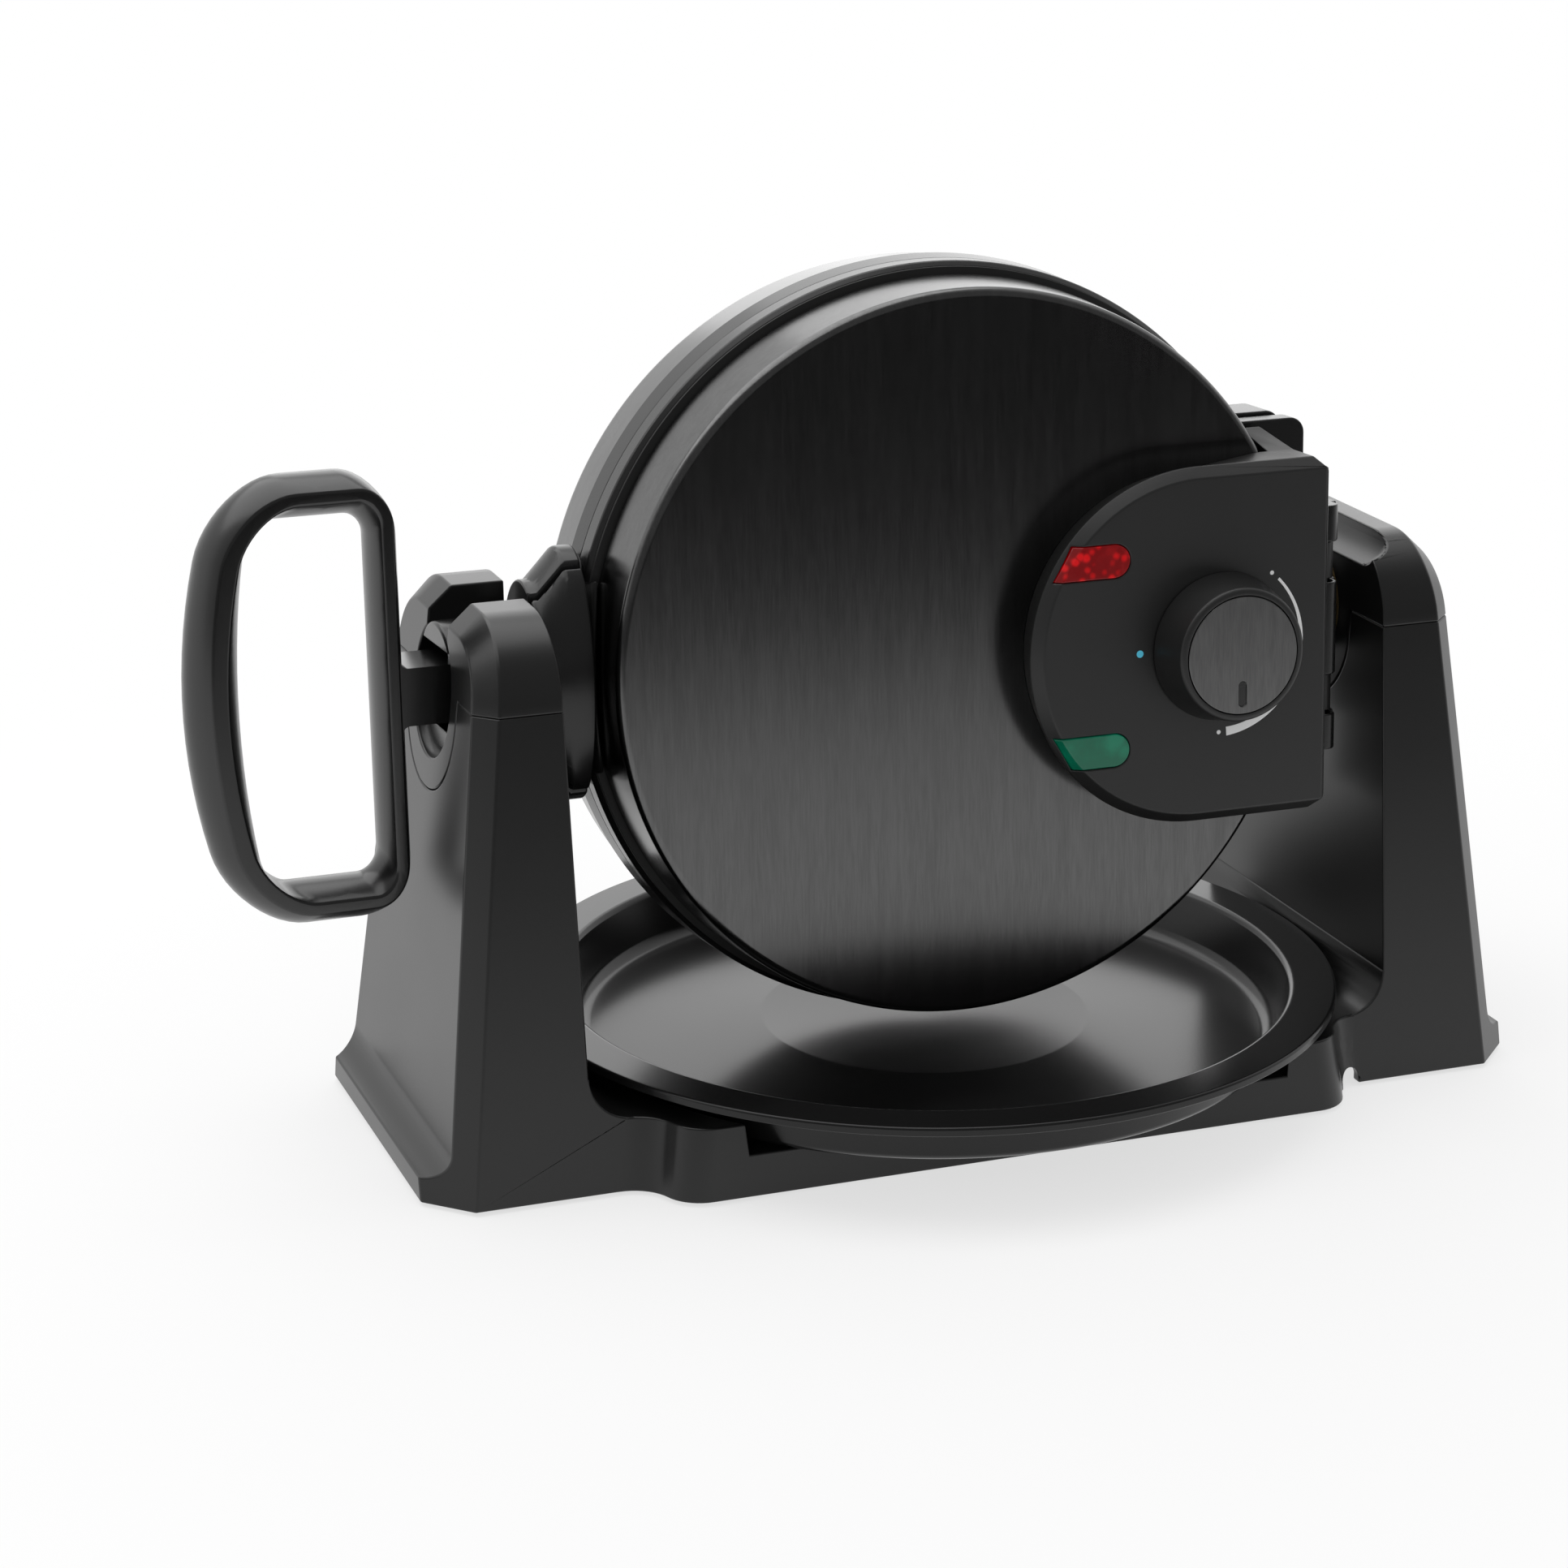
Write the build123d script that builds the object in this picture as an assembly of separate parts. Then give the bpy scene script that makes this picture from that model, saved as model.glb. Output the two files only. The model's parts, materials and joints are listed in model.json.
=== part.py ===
from build123d import *
import os
from math import hypot, sqrt

# A rotary waffle maker. X runs along the flip axis from the handle to the hinge end, Y runs to the
# back and Z up. The head stands part-way through its flip, with the lid towards the front.

# Stand
foot_standoff = 1.2
head_room = 6.8
rest_tilt = 3.2
pillar_rise = 25.5
pillar_room = 12.1
pillar_inner_lean = 0.014
pillar_width = 40.2
pillar_outer_lean = 0.107
pillar_front = 61.0
pillar_front_lean = 0.124
pillar_roll = 24.0
pillar_edge_cut = 6.0
shell_wall = 3.5
foot_flange_reach = 6.4
foot_flange_height = 7.0
foot_cove = 7.3
deck_height = 20.8
deck_bulge = 15.5
deck_shoulder = 28.6
deck_ogee = 22.0
deck_blend = 12.0
deck_floor = 3.0
tray_pocket_floor = 12.0
cord_notch_inset = 11.6
cord_notch_half = 3.4
cord_notch_height = 5.2
cord_notch_reach = 9.0
cover_thickness = 2.0
cover_recess = 1.0
cover_clearance = 0.3
foot_radius = 8.0
foot_inset = 24.0
foot_edge = 0.4

# Bearing caps
cap_seam_rise = 2.3
seam_gap = 0.2
cap_tongue_half = 24.5
cap_tongue_depth = 30.8
cap_seat = 15.0
journal_radius = 18.0
running_fit = 0.05
journal_mouth = 20.0
saddle_relief = 1.6
saddle_relief_depth = 3.0
scoop_radius = 9.0
scoop_depth = 7.6
scoop_half = 38.0
bush_radius = 14.0
bush_length = 12.0
bush_flange = 2.0
bush_flange_radius = 17.0
axle_radius = 10.0
axle_bore = 6.0
axle_end_gap = 2.0

# Drip tray
tray_reach = 11.5
tray_rim_width = 13.5
tray_wall_slope = 4.9
tray_depth = 15.7
tray_ring_radius = 48.6
tray_ring_rise = 1.6
tray_dish = 1.0
tray_sheet = 1.6
tray_lip = 2.6
tray_seat_width = 6.0
tray_clearance = 0.9
tray_pocket_gap = 3.5

# Head halves
lid_radius = 104.0
lid_flare = 1.4
lid_depth = 21.6
lid_edge = 2.6
parting_gap = 1.4
lower_reveal = 1.9
lower_front_rise = 1.5
lower_front_cut = 1.4
lower_step = 0.7
lower_draft = 2.3
bezel_depth = 8.7
band_depth = 7.5
lower_cover_depth = 23.0
lower_edge = 5.0
sheet_wall = 1.2
bezel_lip = 4.0
seal_depth = 0.7
seal_width = 4.0

# Grid plates and heaters
plate_margin = 12.0
plate_base = 2.5
plate_collar = 4.0
lid_plate_recess = 10.0
lower_plate_recess = 14.0
grid_margin = 4.0
grid_pitch = 19.0
stud_base = 13.0
stud_taper = 14.0
stud_clearance = 3.4
divider_width = 5.0
divider_clearance = 6.0
heater_inset = 30.0
heater_tube = 2.6
heater_gap_angle = 40.0
shield_thickness = 0.8

# Control housing on the lid
box_half = 51.6
box_overhang = 0.5
box_straight = 40.3
box_height = 15.5
box_bevel = 3.1
box_bevel_angle = 45.0
box_undercut = 3.6
box_undercut_inset = 16.5
box_wall = 2.4
box_skirt = 11.0
box_flare = 5.4
box_corner = 9.4
box_end_edge = 1.8
knob_inset = 34.0
knob_base_radius = 21.5
knob_top_radius = 19.0
knob_height = 13.2
knob_gap = 0.5
knob_edge = 1.4
knob_cap_radius = 16.8
knob_cap_depth = 1.6
knob_cap_gap = 0.3
pointer_width = 2.6
pointer_near = 7.4
pointer_far = 14.8
pointer_depth = 0.9
spindle_radius = 3.0
spindle_grip = 6.0
thermostat_size = 26.0
thermostat_depth = 8.0
window_inset = 22.2
window_length = 22.6
window_lean = 5.8
window_half = 4.7
window_centre = 27.2
window_thickness = 1.8
lamp_radius = 2.4
lamp_length = 6.0

# Hinge end
hinge_offset = 3.0
hinge_forward = 3.0
hinge_barrel = 3.4
hinge_float = 2.5
hinge_clearance = 0.4
pin_radius = 2.0
pin_inset = 3.0
bracket_inset = 15.6
bracket_cover = 4.8
bracket_corner = 5.0
bracket_clearance = 0.5
lug_inset = 11.0
lug_width = 11.0
frame_margin = 1.0
frame_step = 0.9
lid_frame_cover = 6.3
lower_frame_inset = 1.0
frame_corner = 4.6
lid_frame_depth = 7.0
axle_boss_radius = 15.0
axle_boss_gap = 1.0
bracket_screw_inset = 10.0

# Hub, journal and handle
hub_overlap = 5.0
hub_shelf_height = 33.5
hub_shelf_depth = 17.0
hub_ridge_width = 5.0
hub_ridge_height = 36.2
hub_ridge_depth = 19.5
hub_cone = 8.0
hub_nose_length = 2.5
hub_nose_height = 27.5
hub_nose_depth = 19.0
hub_gap = 1.44
lid_hub_step = 0.6
journal_gap = 2.2
journal_inset = 1.33
journal_edge = 0.6
handle_pocket = 11.0
handle_pocket_half = 11.5
handle_stem_half = 8.1
handle_gap = 12.7
handle_width = 51.9
handle_half = 58.4
handle_depth = 21.0
handle_bow = 9.2
handle_near_corner = 11.0
handle_far_corner = 20.0
handle_near_crown = 2.1
handle_rim_crown = 4.2
handle_grip_crown = 6.2
handle_crest_bow = 12.1
handle_crest_near_corner = 20.0
handle_crest_far_corner = 22.0
handle_band = 3.2
handle_grip_band = 4.3
handle_near_bulge = 3.0
handle_bulge = 4.5
handle_waist_bow = 4.4
handle_waist_corner = 7.0
handle_root_fillet = 2.0
handle_dent = 2.0
handle_pin_radius = 2.0
handle_pin_half = 16.5

# Fasteners
screw_head_radius = 3.2
screw_head_height = 1.8
screw_head_edge = 0.6
screw_shank_radius = 1.6
screw_shank_length = 8.0
deck_screw_inset_x = 25.6
deck_screw_inset_y = 17.0
deck_screw_head = 0.9
deck_screw_grip = 4.0
boss_radius = 4.5
cap_screw_radius = 2.2
cap_screw_head_radius = 4.2
cap_screw_head_height = 3.0
cap_screw_grip = 7.0

head_depth = lid_depth + parting_gap + bezel_depth + band_depth + lower_cover_depth
face_y = -head_depth / 2
lid_back_y = face_y + lid_depth
lower_front_y = lid_back_y + parting_gap
bezel_back_y = lower_front_y + bezel_depth
band_back_y = bezel_back_y + band_depth
back_y = head_depth / 2

lid_rim_radius = lid_radius + lid_flare
lower_front_radius = lid_rim_radius + lower_reveal
lower_radius = lower_front_radius + lower_front_rise
lower_step_radius = lower_radius + lower_step
lower_back_radius = lower_step_radius - lower_draft
plate_radius = lid_radius - plate_margin
grid_radius = plate_radius - grid_margin
heater_ring = plate_radius - heater_inset

tray_floor_height = tray_pocket_floor + tray_sheet
tray_ring_height = tray_floor_height + tray_ring_rise
tray_centre_height = tray_ring_height - tray_dish
tray_rim_height = tray_floor_height + tray_depth
tray_radius = lower_step_radius + tray_reach
tray_rim_inner = tray_radius - tray_rim_width
tray_floor_radius = tray_rim_inner - tray_wall_slope

axis_height = tray_ring_height + head_room + lower_step_radius
pillar_height = axis_height + pillar_rise
pillar_inner = lower_step_radius + pillar_room
pillar_outer = pillar_inner + pillar_width
foot_reach = pillar_outer + foot_flange_reach
cap_seam = axis_height + cap_seam_rise
cap_foot = cap_seam - cap_tongue_depth
pillar_cavity_height = cap_foot - cap_seat
cap_screw_tip = cap_foot + cap_screw_grip
deck_bulge_half = pillar_inner - deck_shoulder
deck_screw_x = pillar_inner - deck_screw_inset_x
deck_screw_y = pillar_front - deck_screw_inset_y
cord_notch_x = pillar_inner - cord_notch_inset

panel_y = face_y - box_height
knob_front_y = panel_y - knob_gap - knob_height
box_end = lid_radius + box_overhang
box_centre = box_end - box_straight
box_undercut_end = box_end - box_undercut_inset
knob_x = box_end - knob_inset
window_inner = box_centre - window_inset
window_outer = window_inner - window_length
hinge_x = lid_rim_radius + hinge_offset
hinge_y = face_y - hinge_forward
hinge_relief = hinge_barrel + hinge_float + hinge_clearance
bracket_half = box_half - bracket_inset
bracket_right = hinge_x + bracket_cover
bracket_screw_height = bracket_half - bracket_screw_inset
pin_half = bracket_half - pin_inset
lug_outer = bracket_half - lug_inset
lug_inner = lug_outer - lug_width
lid_frame_half = box_half + box_flare + frame_margin
lower_frame_half = lid_frame_half + frame_step
lid_frame_end = lid_rim_radius + lid_frame_cover
lower_frame_end = lower_step_radius - lower_frame_inset

axle_inner = pillar_inner + pillar_inner_lean * axis_height
axle_outer = pillar_outer - pillar_outer_lean * axis_height
hub_root = lid_radius - hub_overlap
hub_end = axle_inner - hub_gap
hub_nose_start = hub_end - hub_nose_length
hub_ridge_end = hub_nose_start - hub_cone
hub_ridge_start = hub_ridge_end - hub_ridge_width
lid_hub_end = hub_end - lid_hub_step
journal_start = hub_end + journal_gap
journal_end = axle_outer - journal_inset
handle_right = journal_end + handle_gap
handle_left = handle_right + handle_width
handle_reach = handle_left + handle_grip_crown
centre_shift = (handle_reach - foot_reach) / 2


def inner_x(z):
    """Inner face of a pillar at height z."""
    return pillar_inner + pillar_inner_lean * z


def outer_x(z):
    """Outer face of a pillar at height z."""
    return pillar_outer - pillar_outer_lean * z


def front_y(z):
    """Front face of a pillar at height z, as a distance from the flip axis."""
    return pillar_front - pillar_front_lean * z


def turned(points):
    """A ring or disc turned about Y from (radius, y) points."""
    return revolve(make_face(Polyline(*points, close=True)), axis=Axis.Y)


def bar_x(radius, low, high, z=0.0):
    """A round bar along X."""
    return extrude(Plane.YZ.offset(low) * Pos(0, z) * Circle(radius), high - low)


def bar_y(radius, low, high, x=0.0, z=0.0):
    """A round bar along Y."""
    return extrude(Plane.XZ.offset(-high) * Pos(x, z) * Circle(radius), high - low)


def bar_z(radius, low, high, x=0.0, y=0.0):
    """A round bar along Z."""
    return Pos(x, y, low) * extrude(Circle(radius), high - low)


def slab_y(outline, low, high):
    """An outline drawn in X and Z, carried along Y from low to high."""
    return extrude(Plane.XZ.offset(-high) * outline, high - low)


def block(low, high):
    """A box between two corners."""
    size = [b - a for a, b in zip(low, high)]
    centre = [(a + b) / 2 for a, b in zip(low, high)]
    return Pos(*centre) * Box(*size)


def polygon(*points):
    """A flat face with straight sides."""
    return make_face(Polyline(*points, close=True))


def pillar_blank():
    """The right pillar: a tapered leg, rolled over at the top, its outer edges cut back."""
    top = pillar_height
    side = polygon((-front_y(0), 0), (-front_y(top), top), (front_y(top), top), (front_y(0), 0))
    side = fillet(side.vertices().group_by(Axis.Y)[-1], pillar_roll)
    width = polygon((inner_x(0), 0), (outer_x(0), 0), (outer_x(top), top), (inner_x(top), top))
    leg = extrude(Plane.YZ * side, foot_reach) & slab_y(width, -pillar_front, pillar_front)
    outer = leg.faces().sort_by(Axis.X)[-1]
    return chamfer(outer.edges().sort_by(Axis.Z)[1:], pillar_edge_cut)


def cap_space(gap):
    """The part of a pillar that belongs to its bearing cap, grown by a gap."""
    half = cap_tongue_half + gap
    centre = cap_foot + cap_tongue_half
    stem = Pos(0, (centre + pillar_height) / 2) * Rectangle(2 * half, pillar_height - centre)
    tongue = extrude(Plane.YZ * (stem + Pos(0, centre) * Circle(half)), foot_reach)
    return tongue + block((0, -pillar_front, cap_seam), (foot_reach, pillar_front, pillar_height))


def foot_flange(leg):
    """The ledge at a leg's outer foot, hollowed up to the leg and cut off flush with its cut edges."""
    root = pillar_outer - pillar_edge_cut
    top = foot_flange_height + foot_cove
    ledge = (foot_reach, foot_flange_height)
    rise = (outer_x(top), top)
    profile = [
        Line((root, 0), (foot_reach, 0)),
        Line((foot_reach, 0), ledge),
        TangentArc(rise, ledge, tangent=(pillar_outer_lean, -1)),
        Line(rise, (root, top)),
        Line((root, top), (root, 0)),
    ]
    flange = slab_y(make_face(profile), -pillar_front, pillar_front)
    for face in leg.faces().filter_by(GeomType.PLANE):
        normal = face.normal_at()
        if abs(normal.X * normal.Y) > 1 / 4:
            flange = split(flange, Plane(face), keep=Keep.BOTTOM)
    return flange


def deck_plan(inset):
    """Plan of the deck: straight beside the pillars, swelling forward and back in the middle."""
    side = pillar_inner + shell_wall / 2
    near = pillar_front - inset
    far = near + deck_bulge
    middle = (near + far) / 2
    swell = deck_bulge_half - inset
    start = swell + deck_ogee
    half_way = swell + deck_ogee / 2
    edges = []
    for sx in (-1, 1):
        edges.append(Line((sx * side, -near), (sx * side, near)))
        for sy in (-1, 1):
            bend = (sx * half_way, sy * middle)
            edges.append(Line((sx * side, sy * near), (sx * start, sy * near)))
            edges.append(TangentArc((sx * start, sy * near), bend, tangent=(-sx, 0)))
            edges.append(TangentArc((sx * swell, sy * far), bend, tangent=(sx, 0)))
    for sy in (-1, 1):
        edges.append(Line((-swell, sy * far), (swell, sy * far)))
    return make_face(edges)


def deck_inside(inset):
    """Plan of the hollow under the deck, between the pillars."""
    half = pillar_inner - inset
    return deck_plan(inset) & Rectangle(2 * half, 2 * (pillar_front + deck_bulge))


def deck_blend_strip():
    """The hollow curve between the deck's top and a pillar's inner face."""
    right = inner_x(deck_height) + shell_wall / 2
    left = inner_x(deck_height) - deck_blend
    low = deck_height - deck_floor
    high = deck_height + deck_blend
    strip = polygon((left, low), (right, low), (right, high), (left, high))
    strip = strip - Pos(left, high) * Circle(deck_blend)
    side = polygon((-front_y(0), 0), (-front_y(high), high), (front_y(high), high), (front_y(0), 0))
    return slab_y(strip, -pillar_front, pillar_front) & extrude(Plane.YZ * side, foot_reach)


def pillar_inside(z, inset):
    """Plan of the hollow inside a pillar at height z."""
    width = outer_x(z) - inner_x(z) - 2 * inset
    depth = 2 * (front_y(z) - inset)
    plan = chamfer(Rectangle(width, depth).vertices(), pillar_edge_cut)
    return Pos((outer_x(z) + inner_x(z)) / 2, 0, z) * plan


def cord_notch():
    """The arched notch under the front edge where a cord would leave."""
    radius = cord_notch_half
    rise = cord_notch_height - radius
    arch = Rectangle(2 * radius, 2 * rise) + Pos(0, rise) * Circle(radius)
    return slab_y(Pos(cord_notch_x, 0) * arch, -pillar_front - deck_bulge, cord_notch_reach - pillar_front)


def deck_screw_places():
    """Middles of the screws that hold the deck cover."""
    return [(x, sy * deck_screw_y) for x in (-deck_screw_x, 0, deck_screw_x) for sy in (-1, 1)]


def deck_boss_parts(radius, low, high):
    """Round bars at the deck's screw places."""
    return [bar_z(radius, low, high, x, y) for x, y in deck_screw_places()]


def cap_screw_bar(radius, low, high):
    """A round bar up the middle of the right pillar, under its bearing cap."""
    return bar_z(radius, low, high, (axle_inner + axle_outer) / 2)


def make_stand():
    """One moulded shell: the deck with its tray pocket and the two hollow pillars."""
    cavity = [pillar_inside(z, shell_wall) for z in (0, pillar_cavity_height)]
    leg = pillar_blank()
    right = leg + foot_flange(leg) + deck_blend_strip()
    right = right - cap_space(seam_gap) - loft(cavity, ruled=True)
    right = right - cap_screw_bar(cap_screw_radius, pillar_cavity_height, cap_seam)
    cover_top = cover_recess + cover_thickness
    deck_top = Pos(0, 0, deck_height) * deck_plan(pillar_front_lean * deck_height)
    deck = loft([deck_plan(0), deck_top], ruled=True)
    deck = deck - extrude(deck_inside(shell_wall), tray_pocket_floor - deck_floor)
    deck = deck + deck_boss_parts(boss_radius, cover_top, tray_pocket_floor)
    deck = deck - deck_boss_parts(screw_shank_radius, cover_top, tray_pocket_floor - deck_floor)
    deck = deck - bar_z(tray_rim_inner + tray_pocket_gap, tray_pocket_floor, deck_height)
    low = tray_rim_height - tray_lip - tray_clearance
    tray_way = bar_z(tray_radius + tray_clearance / 2, low, deck_height + deck_blend)
    return right + mirror(right, Plane.YZ) + deck - tray_way - cord_notch()


def cap_blank():
    """A bearing cap before its bore, drilled for the screw from below."""
    return (pillar_blank() & cap_space(0)) - cap_screw_bar(cap_screw_radius, 0, cap_screw_tip)


def make_cap_screws():
    """One screw in each pillar that draws its bearing cap down."""
    low = pillar_cavity_height
    head = cap_screw_bar(cap_screw_head_radius, low - cap_screw_head_height, low)
    bolt = head + cap_screw_bar(cap_screw_radius, low, cap_screw_tip)
    return bolt + mirror(bolt, Plane.YZ)


def make_left_cap():
    """Left bearing cap: two prongs and the saddle of the journal, open at the top, relieved outside."""
    bore = journal_radius + running_fit
    cap = cap_blank() - bar_x(bore, 0, foot_reach, axis_height)
    cap = cap - bar_x(bore, axle_outer - saddle_relief_depth, foot_reach, axis_height - saddle_relief)
    half = journal_mouth / 2
    mouth = block((0, -half, axis_height), (foot_reach, half, pillar_height))
    return mirror(cap - mouth, Plane.YZ)


def make_right_cap():
    """Right bearing cap, with a finger scoop along its inner top edge and a blind bearing bore."""
    bore_end = axle_inner + bush_length + 2 * axle_end_gap
    cap = cap_blank() - bar_x(bush_radius, 0, bore_end, axis_height)
    cap = cap - bar_x(bush_flange_radius, 0, axle_inner + bush_flange, axis_height)
    reach = scoop_half - scoop_radius
    drop = (scoop_radius - scoop_depth) / sqrt(2)
    centre = Pos(inner_x(pillar_height) - drop, 0, pillar_height + drop)
    groove = centre * Rot(90, 0, 0) * Cylinder(scoop_radius, 2 * reach)
    for sy in (-1, 1):
        groove = groove + centre * Pos(0, sy * reach, 0) * Sphere(scoop_radius)
    return cap - groove


def make_axle_bush():
    """Flanged plain bush in the right cap."""
    bush = bar_x(bush_radius, axle_inner, axle_inner + bush_length, axis_height)
    bush = bush + bar_x(bush_flange_radius, axle_inner, axle_inner + bush_flange, axis_height)
    return bush - bar_x(axle_radius + running_fit, 0, foot_reach, axis_height)


def make_deck_cover():
    """Sheet that closes the deck from below."""
    plan = deck_inside(shell_wall + cover_clearance)
    cover = Pos(0, 0, cover_recess) * extrude(plan, cover_thickness)
    half = cord_notch_half + shell_wall
    low = (cord_notch_x - half, -pillar_front - deck_bulge, 0)
    high = (cord_notch_x + half, cord_notch_reach + shell_wall - pillar_front, deck_height)
    return cover - block(low, high) - deck_boss_parts(screw_shank_radius, 0, deck_height)


def make_deck_screws():
    """Flat-head screws that hold the deck cover."""
    top = cover_recess + cover_thickness + deck_screw_grip
    heads = deck_boss_parts(screw_head_radius, cover_recess - deck_screw_head, cover_recess)
    shanks = deck_boss_parts(screw_shank_radius, cover_recess, top)
    return Part() + heads + shanks


def make_pillar_covers():
    """Two sheets that close the pillars from below."""
    plan = pillar_inside(cover_recess + cover_thickness, shell_wall + cover_clearance)
    cover = Pos(0, 0, -cover_thickness) * extrude(plan, cover_thickness)
    return cover + mirror(cover, Plane.YZ)


def foot_places():
    """Middle of each foot, near the pillars' front and back edges."""
    x = (outer_x(0) + inner_x(0)) / 2
    y = front_y(0) - foot_inset
    return [(sx * x, sy * y) for sx in (-1, 1) for sy in (-1, 1)]


def make_feet():
    """Four rubber feet stuck to the pillar covers."""
    feet = []
    for x, y in foot_places():
        pad = bar_z(foot_radius, -foot_standoff, cover_recess, x, y)
        feet.append(chamfer(pad.edges().group_by(Axis.Z)[0], foot_edge))
    return Part() + feet


def make_tray():
    """Pressed drip tray: a turned pan with a flat rim, a turned-down lip and a dished centre."""
    lip_z = tray_rim_height - tray_lip
    under_z = tray_rim_height - tray_sheet
    section = polygon(
        (0, tray_centre_height),
        (tray_ring_radius, tray_ring_height),
        (tray_floor_radius, tray_floor_height),
        (tray_rim_inner, tray_rim_height),
        (tray_radius, tray_rim_height),
        (tray_radius, lip_z),
        (tray_radius - tray_sheet, lip_z),
        (tray_radius - tray_sheet, under_z),
        (tray_rim_inner + tray_sheet / 2, under_z),
        (tray_floor_radius + tray_sheet / 2, tray_pocket_floor),
        (tray_floor_radius - tray_seat_width, tray_pocket_floor),
        (tray_ring_radius, tray_ring_height - tray_sheet),
        (0, tray_centre_height - tray_sheet),
    )
    return revolve(Plane.XZ * section, axis=Axis.Z)


def make_lid_cover():
    """Spun metal cup that forms the lid's face and side."""
    cup = turned([(0, face_y), (lid_radius, face_y), (lid_rim_radius, lid_back_y), (0, lid_back_y)])
    cup = fillet(cup.edges().filter_by(GeomType.CIRCLE).sort_by(Axis.Y)[0], lid_edge)
    inside = [
        (0, face_y + sheet_wall),
        (lid_radius - lid_edge, face_y + sheet_wall),
        (lid_radius - sheet_wall, face_y + lid_edge),
        (lid_rim_radius - sheet_wall, lid_back_y),
        (0, lid_back_y),
    ]
    return cup - turned(inside)


def make_lid_bezel():
    """Ring inside the lid's edge that carries its grid plate."""
    inner = plate_radius + seam_gap
    depth = lid_plate_recess + plate_base
    start = lid_back_y - depth
    slope = (lid_rim_radius - lid_radius) * depth / lid_depth
    outer = lid_rim_radius - sheet_wall - seam_gap
    return turned([(inner, start), (outer - slope, start), (outer, lid_back_y), (inner, lid_back_y)])


def make_seal():
    """Soft ring that lies on the lower half's front edge."""
    outer = lower_front_radius
    inner = outer - seal_width
    front = lower_front_y
    back = front + seal_depth
    return turned([(inner, front), (outer, front), (outer, back), (inner, back)])


def make_lower_bezel():
    """Front ring of the lower half, with a cut-back front edge and a collar round its grid plate."""
    front = lower_front_y + seal_depth
    inner = plate_radius + seam_gap
    collar_y = lower_front_y + lower_plate_recess + plate_base
    section = [
        (inner, front),
        (lower_front_radius, front),
        (lower_radius, front + lower_front_cut),
        (lower_radius, bezel_back_y),
        (inner + plate_collar, bezel_back_y),
        (inner + plate_collar, collar_y),
        (inner, collar_y),
    ]
    return turned(section)


def make_lower_band():
    """Second ring of the lower half, wider towards the back, drilled for the hinge bracket's screws."""
    inner = lower_radius - bezel_lip
    section = [
        (inner, bezel_back_y),
        (lower_radius, bezel_back_y),
        (lower_step_radius, band_back_y),
        (inner, band_back_y),
    ]
    return turned(section) - bracket_screw_holes()


def make_lower_cover():
    """Spun metal cup that forms the back of the lower half."""
    radius = lower_step_radius - sheet_wall
    cup = turned([(0, band_back_y), (radius, band_back_y), (lower_back_radius, back_y), (0, back_y)])
    cup = fillet(cup.edges().filter_by(GeomType.CIRCLE).sort_by(Axis.Y)[-1], lower_edge)
    inside = [
        (0, band_back_y),
        (radius - sheet_wall, band_back_y),
        (lower_back_radius - sheet_wall, back_y - lower_edge),
        (lower_back_radius - lower_edge, back_y - sheet_wall),
        (0, back_y - sheet_wall),
    ]
    return cup - turned(inside)


def stud_plan():
    """Square feet of the pyramids, in rows that leave a cross free between four quarters."""
    count = int(grid_radius // grid_pitch) + 1
    places = [(i + 0.5) * grid_pitch for i in range(-count, count)]
    corner = stud_base / 2
    squares = [
        Pos(x, z) * Rectangle(stud_base, stud_base)
        for x in places
        for z in places
        if hypot(abs(x) + corner, abs(z) + corner) < grid_radius
    ]
    return Sketch(children=squares)


def make_grid_plate(rim_y, recess, toward):
    """Cast plate: a disc that carries pyramids and a cross, all rising along toward."""
    floor_y = rim_y - toward * recess
    back_level = plate_back(rim_y, recess, toward)
    disc = bar_y(plate_radius, min(floor_y, back_level), max(floor_y, back_level))
    plane = Plane((0, floor_y, 0), x_dir=(1, 0, 0), z_dir=(0, toward, 0))
    cross = Rectangle(2 * grid_radius, divider_width) + Rectangle(divider_width, 2 * grid_radius)
    studs = extrude(plane * stud_plan(), recess - stud_clearance, taper=stud_taper)
    ribs = extrude(plane * cross, recess - divider_clearance, taper=stud_taper)
    return disc + studs + ribs


def plate_back(rim_y, recess, toward):
    """Level of a grid plate's back, where its heater lies."""
    return rim_y - toward * (recess + plate_base)


def make_heater(rim_y, recess, toward):
    """Tubular heating ring on the back of a grid plate, open at the hinge end for its leads."""
    y = plate_back(rim_y, recess, toward) - toward * heater_tube
    section = Pos(heater_ring, y) * Circle(heater_tube)
    ring = revolve(section, axis=Axis.Y, revolution_arc=360 - heater_gap_angle)
    return Rot(0, -heater_gap_angle / 2, 0) * ring


def make_shield(rim_y, recess, toward):
    """Thin reflector sheet that lies on a heater's far side."""
    near = plate_back(rim_y, recess, toward) - toward * 2 * heater_tube
    far = near - toward * shield_thickness
    return bar_y(grid_radius, min(near, far), max(near, far))


def box_plan(arc, flank, end):
    """Plan of the control housing: half round towards the lid's middle, square at the hinge end."""
    lines = []
    for side in (-1, 1):
        lines.append(Line((box_centre, side * arc), (box_undercut_end, side * flank)))
        lines.append(Line((box_undercut_end, side * flank), (end, side * flank)))
    lines.append(Line((end, -flank), (end, flank)))
    lines.append(ThreePointArc((box_centre, arc), (box_centre - arc, 0), (box_centre, -arc)))
    return make_face(lines)


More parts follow.
